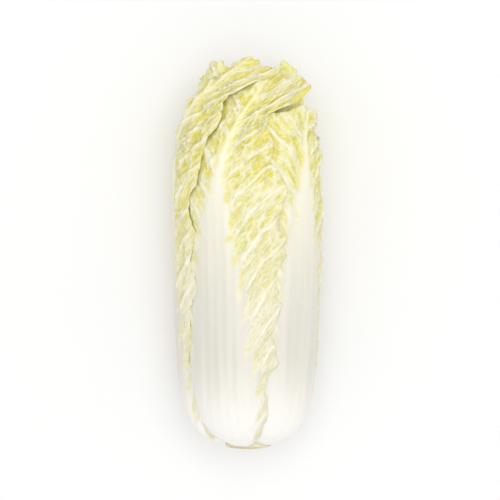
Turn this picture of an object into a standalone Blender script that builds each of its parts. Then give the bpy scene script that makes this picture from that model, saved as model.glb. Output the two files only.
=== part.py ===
"""A head of napa cabbage lying on its side: a cut stem with its heart, and three whorls of waved leaves.

Metres, +Z up. The head lies along Y, with the cut stem at -Y and the leaf tips at +Y. The origin is on
the surface it rests on, under its middle. Sizes below are in millimetres and degrees.

Every leaf is laid out on one set of spokes. A spoke starts on the head's outer face and runs in towards
the axis. A point of a leaf has an angle round the axis, a place along the outer face, and a depth down
its spoke, so leaves that keep to their own depths never meet.
"""

import math

import bpy
import numpy as np

MM = 0.001
CABBAGE = "napa_cabbage"

# The head's outline: how far along from the cut stem, then how far from the axis
OUTER_OUTLINE = [
    (4, 17.6), (6.5, 26), (13, 35.5), (24, 42.5), (42, 47.5), (70, 50.5), (110, 52), (160, 53.2),
    (200, 53.2), (226, 51.2), (244, 47.2), (258, 41.3), (269, 33.6), (277, 25), (282.5, 14.5),
]
# Where the spokes from those points end, along the middle of the heart
INNER_OUTLINE = [
    (34, 17), (37, 15.5), (42, 14), (50, 12.5), (62, 11.5), (84, 11), (116, 10.5), (160, 10),
    (198, 10), (219, 9.5), (231, 9), (239, 8), (244, 6.5), (247, 5), (249, 3.5),
]
OUTLINE_STEPS = 40

# Where the axis runs, seen from the origin
HEAD_START = -141.0
AXIS_X = 0.1
AXIS_HEIGHT = 51.0
# How far the crown sways to the right, by distance from the cut stem
SWAY = [(225, 0), (262, 4), (300, 5)]

# Places along a leaf are measured along the curved outline from here on. All leaves swirl to the right
# towards their tips.
SWIRL_START = 165
SWIRL_END = 305
SWIRL_TURN = 72
SWIRL_POWER = 2.5

# The underside is pressed flat where it lies: its distance below the axis
UNDERSIDE = [(0, 50.4), (165, 50.4), (215, 47.6), (310, 45)]
UNDERSIDE_SOFTNESS = 1.2
UNDERSIDE_LEAST_COSINE = 0.05
PRESSED_DEPTH = 30
REST_BAND = 2.9
SURFACE_GAP = 0.15

# Rib and blade widths, as angles from the rib's middle in a ring of leaves 72 degrees apart
WIDTHS_PITCH = 72
RIB_HALF_ANGLE = [
    (0, 36), (20, 34), (53, 31), (84, 25), (121, 21), (164, 14), (204, 7.5), (225, 4.8), (245, 3.2),
    (265, 2.3), (305, 1.6),
]
RIGHT_MARGIN = [(0, 36), (20, 39), (53, 42), (84, 47), (121, 50), (174, 55), (214, 60), (260, 62), (305, 56)]
LEFT_MARGIN = [(0, 36), (20, 38), (53, 41), (84, 46), (121, 50), (170, 56), (214, 62), (260, 63), (305, 56)]
# How much of a leaf's full rib thickness and of its slant is there
RIB_STRENGTH = [(0, 1), (53, 0.95), (121, 0.7), (214, 0.3), (265, 0.12), (305, 0.05)]
SLANT_STRENGTH = [(0, 0.6), (44, 0.85), (84, 1)]
# How nearly the right margin closes the gap to the next leaf, down to a small one
MARGIN_HUG = [(0, 0.8), (20, 0.92), (140, 0.92), (170, 0.85), (214, 0.6), (240, 0.4), (280, 0.3)]
HUG_POWER = 3
HUG_GAP = 0.6
# How loose the ruffle of the right margin is
MARGIN_LOOSE = [(40, 0.1), (110, 0.3), (160, 0.6), (210, 1)]

BLADE_THICKNESS = 1.15
RIB_BULGE = 1.4
SLANT_SOFTNESS = 8
RIGHT_CORNER_DROP = 12
LEFT_CORNER_DROP = 8
CORNER_POWER = 2.2
TIP_ROW_POWER = 4

# Where across a leaf its left wing flares fully, and where the flare of its tip begins, is full and ends
LEFT_FLARE_FULL = 0.7
TIP_FLARE_START = -0.35
TIP_FLARE_FULL = (0.1, 0.45)
TIP_FLARE_END = 0.95

# Waves along the margins
MARGIN_WAVE_LENGTH = 39
MARGIN_WAVE_HEIGHT = 1.3
MARGIN_WAVE_ANGLE = 3.0
MARGIN_WAVE_POWER = 3
TIP_WAVE_HEIGHT = 2.0
TIP_WAVE_LENGTH = 2
TIP_WAVES = 7
TIP_WAVE_POWER = 8
WAVE_START = 15
WAVE_FULL = 50

# Folds that all leaves share towards the tips: waves round the head, waves along it, phase and height
CRUMPLE_START = 165
CRUMPLE_POWER = 1.5
CRUMPLES = [(5, 1 / 9, 0, 1.0), (8, -1 / 7, 1, 0.8)]

# Each whorl: its depth, how far a leaf slants outwards to the right and inwards to the left, its ribs'
# thickness, its share of the full ruffle, and the rows and columns of a leaf
WHORLS = {
    "outer_leaf": dict(
        depth=0, right_rise=3.0, left_fall=7.5, rib=7.8, ruffle=1, rows=38, columns=12,
        angles=[-94, -25, 50, 122, 190], tips=[294, 281, 253, 297, 292],
    ),
    "second_leaf": dict(
        depth=11.9, right_rise=1.6, left_fall=5.4, rib=5.2, ruffle=0.6, rows=22, columns=8,
        angles=[-58, 14, 86, 158, 230], tips=[303, 299, 306, 301, 305],
    ),
    "inner_leaf": dict(
        depth=21.1, right_rise=1.4, left_fall=5.3, rib=4.0, ruffle=0.25, rows=15, columns=7,
        angles=[-40, 50, 140, 230], tips=[305, 302, 306, 303],
    ),
}
ROW_CROWDING = 0.4
# The head lies on the fifth outer leaf's rib, which the fourth leaf's right margin stops short of
RESTING_LEAF = "outer_leaf_5"
# How single leaves differ from the rest, by place: shares of the usual width of a wing or a rib and of the
# usual fall to the left, degrees of lean to the right, millimetres that the left wing or the tip flares out,
# and the share of its usual drop at the tip's left corner
USUAL_SHAPE = dict(
    right_width=[(0, 1)], left_width=[(0, 1)], fall=[(0, 1)], lean=[(0, 0)], left_flare=[(0, 0)],
    tip_flare=[(0, 0)], rib_width=[(0, 1)], left_corner=[(0, 1)],
)
LEAF_SHAPES = {
    "outer_leaf_1": dict(
        right_width=[
            (20, 1), (53, 0.75), (80, 0.68), (99, 0.74), (125, 0.9), (160, 0.84), (191, 0.72), (220, 0.92),
            (239, 0.97), (262, 0.86), (272, 0.96), (284, 1.08),
        ],
        left_width=[(250, 1), (265, 0.8), (279, 0.8), (287, 1.05)], rib_width=[(180, 1), (240, 2.2)],
        fall=[(245, 1), (262, 1.3), (280, 1.3), (287, 1)], left_flare=[(276, 0), (286, 4), (294, 6)],
        lean=[(200, 0), (235, -6), (262, -6), (276, 2), (285, 12), (300, 14)],
    ),
    "outer_leaf_2": dict(
        left_width=[(20, 1), (53, 1.12), (100, 1.1), (150, 1)],
        rib_width=[(20, 1), (48, 1.17), (86, 1.15), (121, 1.08), (164, 1), (204, 0.8), (235, 0.5)],
        right_width=[
            (0, 1.12), (40, 1.03), (150, 1), (200, 0.88), (220, 0.68), (235, 0.48), (246, 0.36), (255, 0.36),
            (262, 0.62), (268, 0.86), (280, 0.95),
        ],
    ),
    "outer_leaf_3": dict(
        left_width=[(200, 0.95), (225, 0.8), (245, 0.64)],
        right_width=[(150, 1), (200, 0.75), (240, 0.55)],
        rib_width=[(190, 1), (230, 0.6)], fall=[(205, 1), (228, 0.6), (245, 0.3)],
        lean=[(190, 0), (225, -8), (258, -18)], left_corner=[(0, 0.7)],
    ),
    "outer_leaf_4": dict(right_width=[(0, 0.92), (84, 0.7)]),
    "outer_leaf_5": dict(
        right_width=[
            (0, 1.1), (150, 1.1), (185, 0.9), (215, 0.72), (236, 0.7), (249, 0.88), (264, 0.64), (276, 0.5),
        ],
    ),
    "second_leaf_1": dict(right_width=[(215, 1), (240, 0.7)]),
    "second_leaf_2": dict(tip_flare=[(238, 0), (252, 3), (275, 4), (283, 7), (290, 11), (300, 12.5)]),
}

STEM_RADIUS = 17.2
STEM_CHAMFER = 1.4
STEM_CLEARANCE = 0.5
HEART_DEPTH = 29.3
HEART_ROWS = 14
HEART_COLUMNS = 21
HEART_FOLDS = 3
HEART_FOLD_HEIGHT = 2.0
HEART_FOLD_STEEPNESS = 4
HEART_SPIRAL = 110
HEART_TIP = 1.5

OUTER_COLOUR = (0.86, 0.85, 0.70, 1)
SECOND_COLOUR = (0.84, 0.82, 0.55, 1)
INNER_COLOUR = (0.85, 0.80, 0.45, 1)
STEM_COLOUR = (0.84, 0.79, 0.62, 1)
LEAF_ROUGHNESS = 0.45


def clear_scene():
    """Empty the scene and return a new collection for the cabbage."""
    for old in list(bpy.data.objects):
        bpy.data.objects.remove(old)
    collection = bpy.data.collections.new(CABBAGE)
    bpy.context.scene.collection.children.link(collection)
    return collection


def smooth_outline(points):
    """Catmull-Rom curve through the points, with OUTLINE_STEPS samples between each two."""
    points = np.array(points, float)
    before = np.vstack([2 * points[0] - points[1], points, 2 * points[-1] - points[-2]])
    pieces = []
    for a, b, c, d in zip(before, before[1:], before[2:], before[3:]):
        t = np.linspace(0, 1, OUTLINE_STEPS, endpoint=False)[:, None]
        pieces.append(0.5 * (2 * b + (c - a) * t + (2 * a - 5 * b + 4 * c - d) * t**2
                             + (3 * b - a - 3 * c + d) * t**3))
    return np.vstack(pieces + [points[-1:]])


OUTER_CURVE = smooth_outline(OUTER_OUTLINE)
INNER_CURVE = smooth_outline(INNER_OUTLINE)
OUTER_STEPS = np.hypot(*np.diff(OUTER_CURVE, axis=0).T)
OUTER_LENGTH = np.concatenate([[0], np.cumsum(OUTER_STEPS)])


def by_place(table, place):
    """The value at a place along the head, from a short list of places and values."""
    places, values = zip(*table)
    return np.interp(place, places, values)


def smooth_step(low, high, value):
    """Smooth rise from 0 at low to 1 at high."""
    share = np.clip((value - low) / (high - low), 0, 1)
    return share * share * (3 - 2 * share)


def press(angle, place, radius):
    """How far the outer face is pushed in at the underside, where the head lies on it."""
    down = np.maximum(-np.cos(np.radians(angle)), UNDERSIDE_LEAST_COSINE)
    spare = radius - by_place(UNDERSIDE, place) / down
    return 0.5 * (spare + np.sqrt(spare**2 + UNDERSIDE_SOFTNESS**2))


def crumple(angle, place):
    """The soft folds that all leaves share towards the tips of the head."""
    rise = np.clip((place - CRUMPLE_START) / (SWIRL_END - CRUMPLE_START), 0, 1) ** CRUMPLE_POWER
    turn = np.radians(angle)
    return rise * sum(
        height * np.sin(around * turn + place * along + phase) for around, along, phase, height in CRUMPLES
    )


def head_point(angle, place, depth):
    """Points in millimetres at an angle round the axis, a place along the outline, and a depth in from it."""
    angle, place, depth = np.broadcast_arrays(angle, place, depth)
    outer = [np.interp(place, OUTER_LENGTH, OUTER_CURVE[:, k]) for k in (0, 1)]
    inner = [np.interp(place, OUTER_LENGTH, INNER_CURVE[:, k]) for k in (0, 1)]
    spoke = [inner[0] - outer[0], inner[1] - outer[1]]
    length = np.hypot(*spoke)
    swirl = np.clip((place - SWIRL_START) / (SWIRL_END - SWIRL_START), 0, 1) ** SWIRL_POWER
    turned = angle + SWIRL_TURN * swirl
    pressed = press(turned, place, outer[1]) * (1 - depth / PRESSED_DEPTH)
    reach = (depth + pressed - crumple(angle, place)) / length
    distance = outer[0] + spoke[0] * reach
    radius = outer[1] + spoke[1] * reach
    turned = np.radians(turned)
    return np.stack([
        AXIS_X + by_place(SWAY, distance) + radius * np.sin(turned),
        HEAD_START + distance,
        AXIS_HEIGHT + radius * np.cos(turned),
    ], axis=-1)


def leaf_height(leaf, offset, place, fall):
    """Height of a leaf over its own depth: it falls to the left, rises to the right and bulges at its rib."""
    share = offset / leaf["pitch"]
    left_fall = leaf["left_fall"] * fall
    mean_slant = (leaf["right_rise"] + left_fall) / 2
    bend = (leaf["right_rise"] - left_fall) / 2
    soft = SLANT_SOFTNESS / leaf["pitch"]
    slant = mean_slant * share + bend * (np.sqrt(share**2 + soft**2) - soft)
    rib_half = by_place(RIB_HALF_ANGLE, place) * leaf["pitch"] / WIDTHS_PITCH
    rib = np.clip(1 - (offset / rib_half) ** 2, 0, 1)
    bulge = RIB_BULGE * rib * np.sqrt(by_place(RIB_STRENGTH, place))
    return slant * by_place(SLANT_STRENGTH, place) + bulge


def leaf_surfaces(leaf):
    """The outer and inner face of one leaf, as grids of points with the rows running towards its tip."""
    across = np.linspace(-1, 1, leaf["columns"] + 1)[None, :]
    rows = np.linspace(0, 1, leaf["rows"] + 1)[:, None]
    # Rows are closer together at the base and at the tip
    up = rows - ROW_CROWDING * np.sin(2 * math.pi * rows) / (2 * math.pi)
    edge = np.abs(across)
    tip_wave = np.sin(TIP_WAVES * across + leaf["phase"])
    row_place = leaf["tip"] * up
    shape = {key: by_place(table, row_place) for key, table in leaf["shape"].items()}
    corner = np.where(across > 0, RIGHT_CORNER_DROP, LEFT_CORNER_DROP * shape["left_corner"])
    tip_edge = TIP_WAVE_LENGTH * tip_wave - corner * edge**CORNER_POWER
    place = row_place + tip_edge * up**TIP_ROW_POWER
    wave = np.sin(2 * math.pi * place / MARGIN_WAVE_LENGTH + leaf["phase"])
    right = by_place(RIGHT_MARGIN, row_place) * shape["right_width"]
    left = by_place(LEFT_MARGIN, row_place) * shape["left_width"]
    away = np.clip((place - WAVE_START) / (WAVE_FULL - WAVE_START), 0, 1)
    margin = np.where(across > 0, right, left) * leaf["pitch"] / WIDTHS_PITCH
    offset = across * (margin + MARGIN_WAVE_ANGLE * wave * away * edge**MARGIN_WAVE_POWER)
    rib_half = by_place(RIB_HALF_ANGLE, place) * shape["rib_width"] * leaf["pitch"] / WIDTHS_PITCH
    rib = np.clip(1 - (offset / rib_half) ** 2, 0, 1)
    thickness = BLADE_THICKNESS + (leaf["rib"] - BLADE_THICKNESS) * by_place(RIB_STRENGTH, place) * rib
    height = leaf_height(leaf, offset, place, shape["fall"])
    next_shape = {key: by_place(table, place) for key, table in leaf["next_shape"].items()}
    from_next = offset + shape["lean"] - next_shape["lean"] - leaf["to_next"]
    next_leaf = leaf_height(leaf, from_next, place, next_shape["fall"])
    gap = np.maximum(height - thickness - next_leaf - HUG_GAP, 0)
    height = height - by_place(MARGIN_HUG, place) * gap * np.clip(across, 0, 1) ** HUG_POWER
    height = height + shape["left_flare"] * smooth_step(0, LEFT_FLARE_FULL, -across)
    flared = smooth_step(TIP_FLARE_START, TIP_FLARE_FULL[0], across)
    flared = flared * (1 - smooth_step(TIP_FLARE_FULL[1], TIP_FLARE_END, across))
    height = height + shape["tip_flare"] * flared
    at_right = np.clip(across, 0, 1) ** MARGIN_WAVE_POWER
    margin_ruffle = MARGIN_WAVE_HEIGHT * (0.5 + 0.5 * wave) * away * at_right * by_place(MARGIN_LOOSE, place)
    tip_ruffle = TIP_WAVE_HEIGHT * (0.5 + 0.5 * tip_wave) * up**TIP_WAVE_POWER
    outer_depth = leaf["depth"] - height - leaf["ruffle"] * (margin_ruffle + tip_ruffle)
    angle = leaf["angle"] + offset + shape["lean"]
    outer = head_point(angle, place, outer_depth)
    inner = head_point(angle, place, outer_depth + thickness)
    lift = np.maximum(SURFACE_GAP - outer[..., 2], 0)
    outer[..., 2] += lift
    inner[..., 2] += lift
    if leaf["name"] == RESTING_LEAF:
        outer[..., 2] = np.where(outer[..., 2] < REST_BAND, 0, outer[..., 2])
    return outer, inner


def blade_triangles(rows, columns):
    """Triangles of a closed thin blade: outer face, inner face split alike, and the rim between them."""
    width = columns + 1
    inner_start = (rows + 1) * width
    faces = []
    for row in range(rows):
        for column in range(columns):
            a = row * width + column
            b, c, d = a + 1, a + width + 1, a + width
            faces += [(a, b, d), (b, c, d)]
            a, b, c, d = (corner + inner_start for corner in (a, b, c, d))
            faces += [(a, d, b), (b, d, c)]
    bottom = list(range(width))
    right = [row * width + columns for row in range(1, rows + 1)]
    top = [rows * width + column for column in range(columns - 1, -1, -1)]
    left = [row * width for row in range(rows - 1, 0, -1)]
    rim = bottom + right + top + left
    for here, after in zip(rim, rim[1:] + rim[:1]):
        faces += [(after, here, here + inner_start), (after, here + inner_start, after + inner_start)]
    return faces


def make_material(name, colour):
    """A plain leaf material in one colour."""
    material = bpy.data.materials.new(name)
    material.use_nodes = True
    shader = material.node_tree.nodes["Principled BSDF"]
    shader.inputs["Base Color"].default_value = colour
    shader.inputs["Roughness"].default_value = LEAF_ROUGHNESS
    return material


def make_object(collection, name, points, faces, colour):
    """A named mesh object in the cabbage's collection, from points in millimetres."""
    mesh = bpy.data.meshes.new(name)
    mesh.from_pydata((np.asarray(points) * MM).tolist(), [], faces)
    mesh.validate()
    mesh.materials.append(make_material(name, colour))
    piece = bpy.data.objects.new(name, mesh)
    collection.objects.link(piece)
    return piece


def make_leaf(collection, leaf, colour):
    """One leaf, as a closed blade that thickens into its rib."""
    outer, inner = leaf_surfaces(leaf)
    points = np.vstack([outer.reshape(-1, 3), inner.reshape(-1, 3)])
    faces = blade_triangles(leaf["rows"], leaf["columns"])
    return make_object(collection, leaf["name"], points, faces, colour)


def make_whorl(collection, kind, colour):
    """One ring of leaves, at the angles of their ribs round the head."""
    whorl = WHORLS[kind]
    count = len(whorl["angles"])
    shapes = [{**USUAL_SHAPE, **LEAF_SHAPES.get(f"{kind}_{number + 1}", {})} for number in range(count)]
    for number, (angle, tip) in enumerate(zip(whorl["angles"], whorl["tips"])):
        after = (number + 1) % count
        leaf = dict(
            whorl,
            name=f"{kind}_{number + 1}",
            pitch=360 / count,
            angle=angle,
            tip=tip,
            phase=1.9 * number + whorl["depth"],
            shape=shapes[number],
            next_shape=shapes[after],
            to_next=(whorl["angles"][after] - angle) % 360,
        )
        make_leaf(collection, leaf, colour)


def heart_fold(angle, place):
    """Height of the heart's wrapped leaves: each rises slowly round the heart and ends in a step."""
    turns = (angle + HEART_SPIRAL * place / SWIRL_END) * HEART_FOLDS / 360
    share = turns - np.floor(turns)
    return HEART_FOLD_HEIGHT * np.minimum(share, (1 - share) * HEART_FOLD_STEEPNESS)


def make_stem_and_heart(collection):
    """The cut stem, and the tight bud of small leaves that grows out of it, as one closed solid."""
    angle = np.arange(HEART_COLUMNS) * 360 / HEART_COLUMNS
    turn = np.radians(angle)
    top_of_stem = head_point(0, 0, HEART_DEPTH)[1] - HEAD_START
    radius = STEM_RADIUS - STEM_CLEARANCE
    rings = []
    for distance, size in ((0, radius - STEM_CHAMFER), (STEM_CHAMFER, radius), (top_of_stem, radius)):
        rings.append(np.stack([
            AXIS_X + size * np.sin(turn),
            np.full_like(turn, HEAD_START + distance),
            AXIS_HEIGHT + size * np.cos(turn),
        ], axis=-1))
    for share in np.linspace(0, 1, HEART_ROWS + 1)[1:]:
        place = SWIRL_END * share
        fold = heart_fold(angle, place) * math.sin(math.pi * share)
        rings.append(head_point(angle, place, HEART_DEPTH - fold))
    points = np.vstack(rings + [
        [[AXIS_X, HEAD_START, AXIS_HEIGHT]],
        [[AXIS_X, rings[-1][:, 1].max() + HEART_TIP, AXIS_HEIGHT]],
    ])
    count = HEART_COLUMNS
    cut_centre = len(rings) * count
    faces = []
    for ring in range(len(rings) - 1):
        for column in range(count):
            a = ring * count + column
            b = ring * count + (column + 1) % count
            faces += [(a, b, b + count), (a, b + count, a + count)]
    last = (len(rings) - 1) * count
    for column in range(count):
        after = (column + 1) % count
        faces += [(cut_centre, after, column), (cut_centre + 1, last + column, last + after)]
    return make_object(collection, "stem_and_heart", points, faces, STEM_COLOUR)


def main():
    collection = clear_scene()
    make_stem_and_heart(collection)
    make_whorl(collection, "outer_leaf", OUTER_COLOUR)
    make_whorl(collection, "second_leaf", SECOND_COLOUR)
    make_whorl(collection, "inner_leaf", INNER_COLOUR)


main()
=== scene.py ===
"""The looks of a napa cabbage lying on its side: fine leaves in place of the plain ones, light and camera.

Lengths in the leaf formulas are in millimetres and angles in degrees. Meshes are made in metres.

Every leaf is laid out on one set of spokes. A spoke starts on the head's outer face and runs in towards
the axis. A point of a leaf has an angle round the axis, a place along the outer face, and a depth down
its spoke, so leaves that keep to their own depths never meet.
"""

import math

import bpy
import numpy as np
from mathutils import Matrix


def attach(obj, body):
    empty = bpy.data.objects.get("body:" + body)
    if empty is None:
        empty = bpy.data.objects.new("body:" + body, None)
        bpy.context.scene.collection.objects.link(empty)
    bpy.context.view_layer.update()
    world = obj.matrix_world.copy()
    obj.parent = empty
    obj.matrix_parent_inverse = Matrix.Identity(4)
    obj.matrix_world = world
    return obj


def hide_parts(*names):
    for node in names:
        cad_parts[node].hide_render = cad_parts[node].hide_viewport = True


MM = 0.001

# The head's outline: how far along from the cut stem, then how far from the axis
OUTER_OUTLINE = [
    (4, 17.6), (6.5, 26), (13, 35.5), (24, 42.5), (42, 47.5), (70, 50.5), (110, 52), (160, 53.2),
    (200, 53.2), (226, 51.2), (244, 47.2), (258, 41.3), (269, 33.6), (277, 25), (282.5, 14.5),
]
# Where the spokes from those points end, along the middle of the heart
INNER_OUTLINE = [
    (34, 17), (37, 15.5), (42, 14), (50, 12.5), (62, 11.5), (84, 11), (116, 10.5), (160, 10),
    (198, 10), (219, 9.5), (231, 9), (239, 8), (244, 6.5), (247, 5), (249, 3.5),
]
OUTLINE_STEPS = 40

# Where the axis runs, seen from the origin
HEAD_START = -141.0
AXIS_X = 0.1
AXIS_HEIGHT = 51.0
# How far the crown sways to the right, by distance from the cut stem
SWAY = [(225, 0), (262, 4), (300, 5)]

# Places along a leaf are measured along the curved outline from here on. All leaves swirl to the right
# towards their tips.
SWIRL_START = 165
SWIRL_END = 305
SWIRL_TURN = 72
SWIRL_POWER = 2.5

# The underside is pressed flat where it lies: its distance below the axis
UNDERSIDE = [(0, 50.4), (165, 50.4), (215, 47.6), (310, 45)]
UNDERSIDE_SOFTNESS = 1.2
UNDERSIDE_LEAST_COSINE = 0.05
PRESSED_DEPTH = 30
REST_BAND = 1.5
SURFACE_GAP = 0.15

# Rib and blade widths, as angles from the rib's middle in a ring of leaves 72 degrees apart
WIDTHS_PITCH = 72
RIB_HALF_ANGLE = [
    (0, 36), (20, 34), (53, 31), (84, 25), (121, 21), (164, 14), (204, 7.5), (225, 4.8), (245, 3.2),
    (265, 2.3), (305, 1.6),
]
RIGHT_MARGIN = [(0, 36), (20, 39), (53, 42), (84, 47), (121, 50), (174, 55), (214, 60), (260, 62), (305, 56)]
LEFT_MARGIN = [(0, 36), (20, 38), (53, 41), (84, 46), (121, 50), (170, 56), (214, 62), (260, 63), (305, 56)]
# How much of a leaf's full rib thickness and of its slant is there
RIB_STRENGTH = [(0, 1), (53, 0.95), (121, 0.7), (214, 0.3), (265, 0.12), (305, 0.05)]
SLANT_STRENGTH = [(0, 0.6), (44, 0.85), (84, 1)]
# How nearly the right margin closes the gap to the next leaf, down to a small one
MARGIN_HUG = [(0, 0.9), (20, 1), (140, 1), (170, 0.9), (214, 0.7), (240, 0.5), (280, 0.3)]
HUG_POWER = 3
HUG_GAP = -0.3
# How loose the ruffle of the right margin is
MARGIN_LOOSE = [(40, 0.03), (130, 0.12), (170, 0.45), (215, 1)]

BLADE_THICKNESS = 1.0
RIM_THICKNESS = 0.6
RIB_BULGE = 1.4
SLANT_SOFTNESS = 8
RIGHT_CORNER_DROP = 12
LEFT_CORNER_DROP = 8
CORNER_POWER = 2.2
TIP_ROW_POWER = 4

# Where across a leaf its left wing flares fully, and where the flare of its tip begins, is full and ends
LEFT_FLARE_FULL = 0.7
TIP_FLARE_START = -0.35
TIP_FLARE_FULL = (0.1, 0.45)
TIP_FLARE_END = 0.95

# Waves along the margins
MARGIN_WAVE_LENGTH = 39
MARGIN_WAVE_HEIGHT = 1.3
MARGIN_WAVE_ANGLE = 3.0
TIP_WAVE_HEIGHT = 2.0
TIP_WAVE_LENGTH = 2
TIP_WAVES = 7
TIP_WAVE_POWER = 8
TIP_LOBE_HEIGHT = 1.8
TIP_LOBES = 8
LOBE_LENGTHS = (6.5, 3.1)
LOBE_ANGLE = 1.5
SMALL_LOBE_SHARE = 0.6
# Fine frills: their length or number, how much they stray, their height, and how close to the rim they keep
FRILL_LENGTH = 2.3
FRILL_STRAY = 2.2
FRILL_STRAY_LENGTH = 17
FRILL_HEIGHT = 1.6
FRILL_POWER = 6
TIP_FRILLS = 26
TIP_FRILL_STRAY = 2.5
TIP_FRILL_STRAYS = 6
TIP_FRILL_HEIGHT = 1.3
TIP_FRILL_POWER = 22
MARGIN_POWER = 3
WAVE_START = 15
WAVE_FULL = 50

# Folds that all leaves share towards the tips: waves round the head, waves along it, phase and height
CRUMPLE_START = 165
CRUMPLE_POWER = 1.5
CRUMPLES = [(5, 1 / 9, 0, 1.0), (8, -1 / 7, 1, 0.8), (13, 1 / 6, 2, 0.5), (19, -1 / 4.4, 4, 0.35)]

# Each whorl: its depth, how far a leaf slants outwards to the right and inwards to the left, its ribs'
# thickness, its share of the full ruffle, and the rows and columns of a leaf
WHORLS = {
    "outer_leaf": dict(
        depth=0, right_rise=3.0, left_fall=7.5, rib=7.8, ruffle=1, rows=280, columns=124, crowding=0.1,
        angles=[-94, -25, 50, 122, 190], tips=[294, 281, 253, 297, 292],
    ),
    "second_leaf": dict(
        depth=11.9, right_rise=1.6, left_fall=5.4, rib=5.2, ruffle=0.6, rows=110, columns=54, crowding=0.65,
        angles=[-58, 14, 86, 158, 230], tips=[303, 299, 306, 301, 305],
    ),
    "inner_leaf": dict(
        depth=21.1, right_rise=1.4, left_fall=5.3, rib=4.0, ruffle=0.25, rows=90, columns=44, crowding=0.7,
        angles=[-40, 50, 140, 230], tips=[305, 302, 306, 303],
    ),
}
SLOTS = {"outer_leaf": "outer_leaves", "second_leaf": "second_leaves", "inner_leaf": "inner_leaves"}
RESTING_LEAF = "outer_leaf_5"
# How single leaves differ from the rest, by place: shares of the usual width of a wing or a rib and of the
# usual fall to the left, degrees of lean to the right, millimetres that the left wing or the tip flares out
USUAL_SHAPE = dict(
    right_width=[(0, 1)], left_width=[(0, 1)], fall=[(0, 1)], lean=[(0, 0)], left_flare=[(0, 0)],
    tip_flare=[(0, 0)], rib_width=[(0, 1)], rib_side=[(0, 0)], left_corner=[(0, 1)],
)
LEAF_SHAPES = {
    "outer_leaf_1": dict(
        right_width=[
            (20, 1), (53, 0.75), (80, 0.68), (99, 0.74), (125, 0.9), (160, 0.84), (191, 0.72), (220, 0.92),
            (239, 0.97), (262, 0.86), (272, 0.96), (284, 1.08),
        ],
        left_width=[(250, 1), (265, 0.8), (279, 0.8), (287, 1.05)],
        rib_width=[(180, 1), (240, 1.3)], rib_side=[(150, 0), (200, 5), (240, 14), (270, 20), (300, 14)],
        fall=[(245, 1), (262, 1.3), (280, 1.3), (287, 1)], left_flare=[(276, 0), (286, 4), (294, 6)],
        lean=[(200, 0), (235, -6), (262, -6), (276, 2), (285, 12), (300, 14)],
    ),
    "outer_leaf_2": dict(
        left_width=[(20, 1), (53, 1.12), (100, 1.1), (150, 1)],
        rib_width=[(20, 1), (48, 1.17), (86, 1.15), (121, 1.08), (164, 1), (204, 0.8), (235, 0.5)],
        right_width=[
            (0, 1.12), (40, 1.03), (150, 1), (200, 0.88), (220, 0.68), (235, 0.48), (246, 0.36), (255, 0.36),
            (262, 0.58), (268, 0.76), (280, 0.86),
        ],
    ),
    "outer_leaf_3": dict(
        left_width=[(200, 0.95), (225, 0.8), (245, 0.64)],
        right_width=[(150, 1), (200, 0.75), (235, 0.5), (251, 0.3)],
        rib_width=[(190, 1), (230, 0.6)], fall=[(205, 1), (228, 0.6), (245, 0.3)],
        lean=[(190, 0), (225, -8), (258, -18)], left_corner=[(0, 0.7)],
    ),
    "outer_leaf_4": dict(right_width=[(0, 0.92), (84, 0.7)]),
    "outer_leaf_5": dict(
        right_width=[
            (0, 1.1), (150, 1.1), (185, 0.9), (215, 0.72), (236, 0.7), (249, 0.88), (264, 0.64), (276, 0.5),
        ],
    ),
    "second_leaf_1": dict(right_width=[(215, 1), (240, 0.7)]),
    "second_leaf_2": dict(tip_flare=[(238, 0), (252, 3), (275, 4), (283, 7), (290, 11), (300, 12.5)]),
}

STEM_RADIUS = 17.2
STEM_CHAMFER = 1.4
STEM_CLEARANCE = 0.5
STEM_CENTRE = 0.02
# The cut face of the stem: how far in it starts, its grain and its dish, and the rings of points on it,
# round its edge and up the stem's side
CUT_START = 0.4
GRAIN_HEIGHT = 0.25
GRAIN_SIZE = 2.5
GRAIN_SHIFT = 9
GRAIN_SEED = 5
DISH_DEPTH = 0.5
CUT_RINGS = 14
EDGE_RINGS = 5
EDGE_START = 0.15
SIDE_RINGS = 8
SIDE_START = 3
HEART_DEPTH = 29.3
HEART_ROWS = 70
HEART_COLUMNS = 96
HEART_FOLDS = 3
HEART_FOLD_HEIGHT = 2.0
HEART_SPIRAL = 110
HEART_FOLD_STEEPNESS = 4
HEART_TIP = 1.5
# Rings that close the heart's top, as shares of its last full ring
HEART_CLOSING = (0.66, 0.33, 0.002)
# Distances along the head between which the core turns from pale to yellow
HEART_YELLOWING = (60, 200)

# Colours of the leaves' skins: the blade at its base and its tip, its mottles together with the painted shade
# of its hollows, creases and valleys, its rib and its veins, whose pale colour also paints highlights on the
# crests
SKINS = {
    "outer_leaf": dict(
        low=(0.75, 0.715, 0.52), top=(0.79, 0.755, 0.23), mottle_and_shade=(0.74, 0.635, 0.05),
        rib=(0.725, 0.705, 0.625), vein=(0.93, 0.89, 0.72),
    ),
    "second_leaf": dict(
        low=(0.86, 0.81, 0.47), top=(0.89, 0.84, 0.33), mottle_and_shade=(0.83, 0.75, 0.10),
        rib=(0.80, 0.76, 0.55), vein=(0.92, 0.88, 0.55),
    ),
    "inner_leaf": dict(
        low=(0.89, 0.81, 0.38), top=(0.96, 0.85, 0.24), mottle_and_shade=(0.91, 0.77, 0.10),
        rib=(0.82, 0.77, 0.55), vein=(0.92, 0.85, 0.42),
    ),
}
# The rib at its base: its own white, brightened with painted light
RIB_WHITE_AND_LIT_AT_BASE = (0.91, 0.89, 0.84)
RIB_STREAK_SHADE = 0.9
DRY_RIM = (0.62, 0.5, 0.27)
CORE_PALE = (0.82, 0.78, 0.58)
CORE_DARK = (0.72, 0.66, 0.42)
HEART_YELLOW = (0.93, 0.83, 0.32)
CUT_BROWN = (0.66, 0.52, 0.32)
# The fine net of a blade: cells to a metre, how far its lines are bent in metres, and how wide they are
NET_CELLS = 290
NET_BEND = 0.004
NET_LINE = (0.18, 0.02)
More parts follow.
